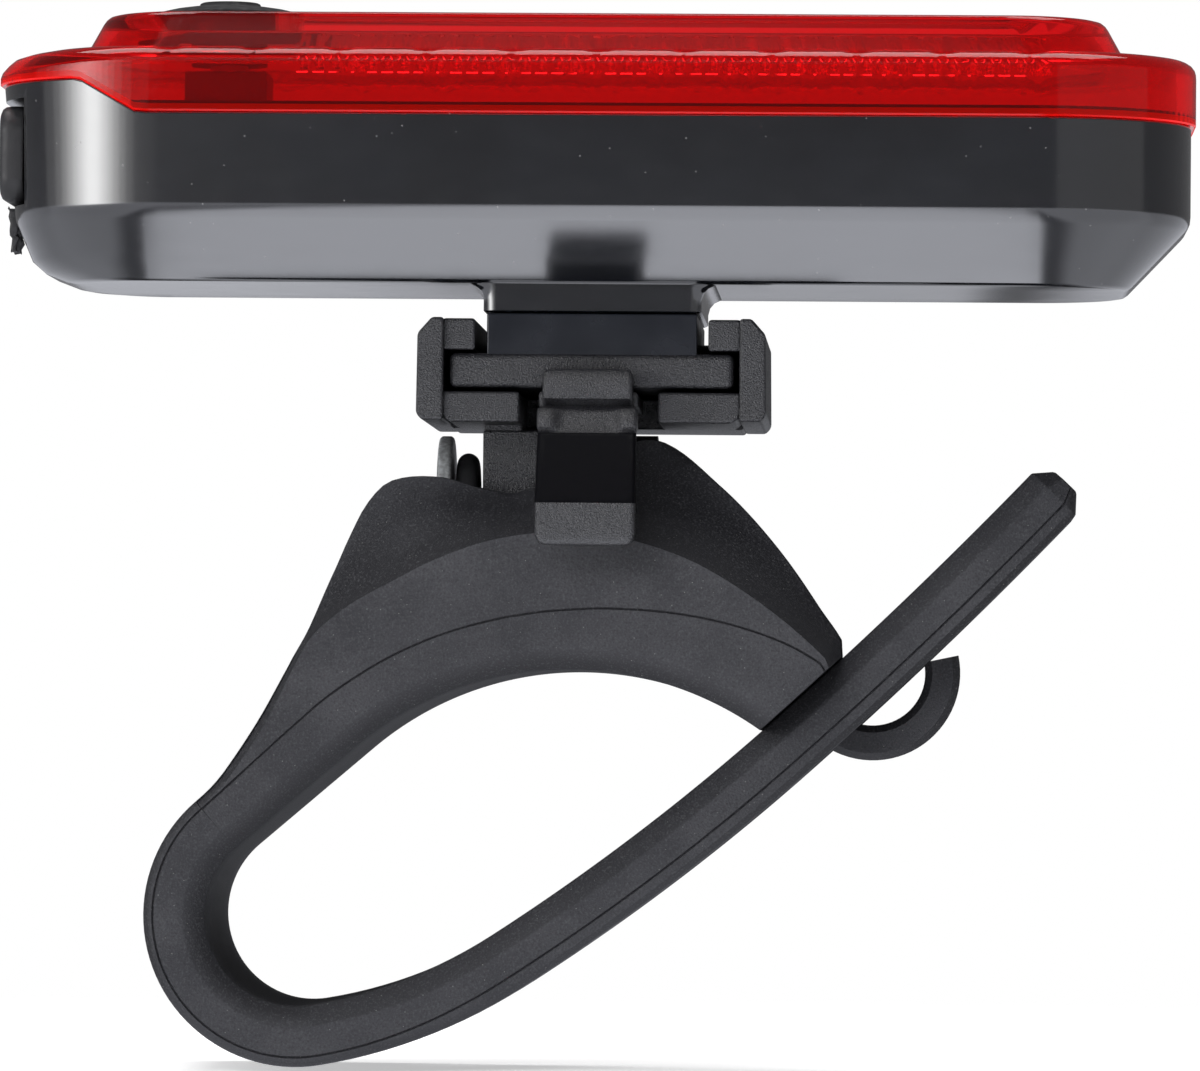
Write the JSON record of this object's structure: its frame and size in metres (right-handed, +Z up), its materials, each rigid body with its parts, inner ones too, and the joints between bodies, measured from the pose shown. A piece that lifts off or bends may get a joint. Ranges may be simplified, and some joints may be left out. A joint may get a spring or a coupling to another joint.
{
  "type": "bicycle rear light",
  "caption": "Rechargeable rear bicycle light with a red lens and mode button, on a slide-off clip, tilting bracket and rubber seat-post strap with hook.",
  "frame": {"origin": "crown of the saddle's arch, where the seat post touches it", "axes": "+X along the lamp towards the end without the charging port, +Y away from the release lever, +Z up towards the lens"},
  "size_m": [0.0752, 0.0288, 0.0671],
  "materials": {
    "red_lens": "clear red, polished",
    "casing_gloss": "glossy black",
    "bracket_plastic": "fine spark texture",
    "strap_rubber": "matt rubber with fine grain",
    "button_rubber": "smooth rubber",
    "seal_rubber": "smooth rubber",
    "zinc_steel": "zinc plated",
    "core_plastic": "moulded",
    "board_green": "white solder mask",
    "led_white": "phosphor and clear resin",
    "chip_black": "moulded",
    "cell_foil": "laminated foil",
    "pad_foam": "foam",
    "lead_red": "insulation",
    "lead_black": "insulation",
    "socket_steel": "tinned steel",
    "plunger_plastic": "moulded"
  },
  "bodies": {
    "saddle": {"strap_saddle": "strap_rubber", "saddle_core": "core_plastic", "strap_loop": "strap_rubber", "tilt_screw": "zinc_steel", "tilt_washer": "zinc_steel", "tilt_o_ring": "seal_rubber", "tilt_nut": "zinc_steel"},
    "tail": {"strap_tail": "strap_rubber"},
    "bracket": {"bracket": "bracket_plastic"},
    "tongue": {"release_tongue": "bracket_plastic"},
    "head": {"rear_casing": "casing_gloss", "lens_cover": "red_lens", "lens_seal": "seal_rubber", "clip_foot": "casing_gloss", "foot_screws": "zinc_steel", "tact_switch": "chip_black", "led_board": "board_green", "led_row": "led_white", "board_chips": "chip_black", "battery_pad": "pad_foam", "battery_cell": "cell_foil", "battery_lead_red": "lead_red", "battery_lead_black": "lead_black", "usb_socket": "socket_steel", "usb_socket_tongue": "chip_black", "board_screws": "zinc_steel", "usb_cover_tether": "seal_rubber"},
    "button": {"mode_button": "button_rubber"},
    "plunger": {"switch_plunger": "plunger_plastic"},
    "port_cover": {"usb_cover": "seal_rubber"}
  },
  "joints": [
    {"name": "head_tilt", "type": "hinge", "parent": "saddle", "child": "bracket", "pos_m": [0.0011, 0, 0.0103], "axis": [1, 0, 0], "range_deg": [-12, 12]},
    {"name": "release_press", "type": "hinge", "parent": "bracket", "child": "tongue", "pos_m": [0.0011, 0, 0.0166], "axis": [1, 0, 0], "range_deg": [0, 8], "stiffness_Nm_per_rad": 0.35},
    {"name": "head_slide", "type": "slide", "parent": "bracket", "child": "head", "axis": [0, -1, 0], "range_m": [0, 0.024], "deforming": ["release_tongue"]},
    {"name": "button_press", "type": "slide", "parent": "head", "child": "button", "axis": [0, 0, -1], "range_m": [0, 0.0004], "stiffness_N_per_m": 3000},
    {"name": "plunger_press", "type": "slide", "parent": "head", "child": "plunger", "axis": [0, 0, -1], "range_m": [0, 0.0004]},
    {"name": "usb_cover_swing", "type": "hinge", "parent": "head", "child": "port_cover", "pos_m": [-0.03625, 0, 0.02905], "axis": [0, -1, 0], "range_deg": [0, 100]},
    {"name": "strap_swing", "type": "hinge", "parent": "saddle", "child": "tail", "pos_m": [-0.0207, 0, -0.0137], "axis": [0, 1, 0], "range_deg": [0, 30], "stiffness_Nm_per_rad": 0.15, "deforming": ["strap_loop"]}
  ],
  "couplings": [
    {"joint": "plunger_press", "follows": "button_press", "ratio": 1}
  ]
}
